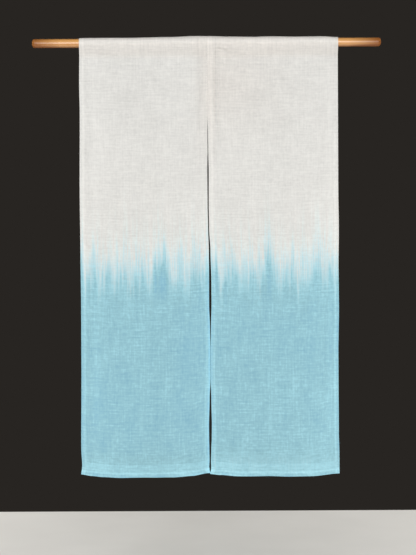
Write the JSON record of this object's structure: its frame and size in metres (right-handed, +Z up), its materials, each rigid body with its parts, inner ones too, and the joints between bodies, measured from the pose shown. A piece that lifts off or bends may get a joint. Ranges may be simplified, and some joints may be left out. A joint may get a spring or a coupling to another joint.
{
  "type": "noren curtain and rod",
  "caption": "Doorway curtain of dip-dyed linen panels, seamed at the top with a slit below, hanging from a round wooden rod in a sewn pocket.",
  "frame": {"origin": "centre of the rod's left end face", "axes": "+X along the rod towards its right end, +Y away from a viewer of the cloth's front, +Z up"},
  "size_m": [1.187, 0.0348, 1.5034],
  "materials": {
    "linen": "slubby plain-weave linen, undyed white above, dip-dyed pale blue below with a feathered edge",
    "wood": "smooth light wood, satin varnish"
  },
  "bodies": {
    "root": {"panel_left": "linen", "panel_right": "linen", "rod": "wood"}
  },
  "joints": []
}
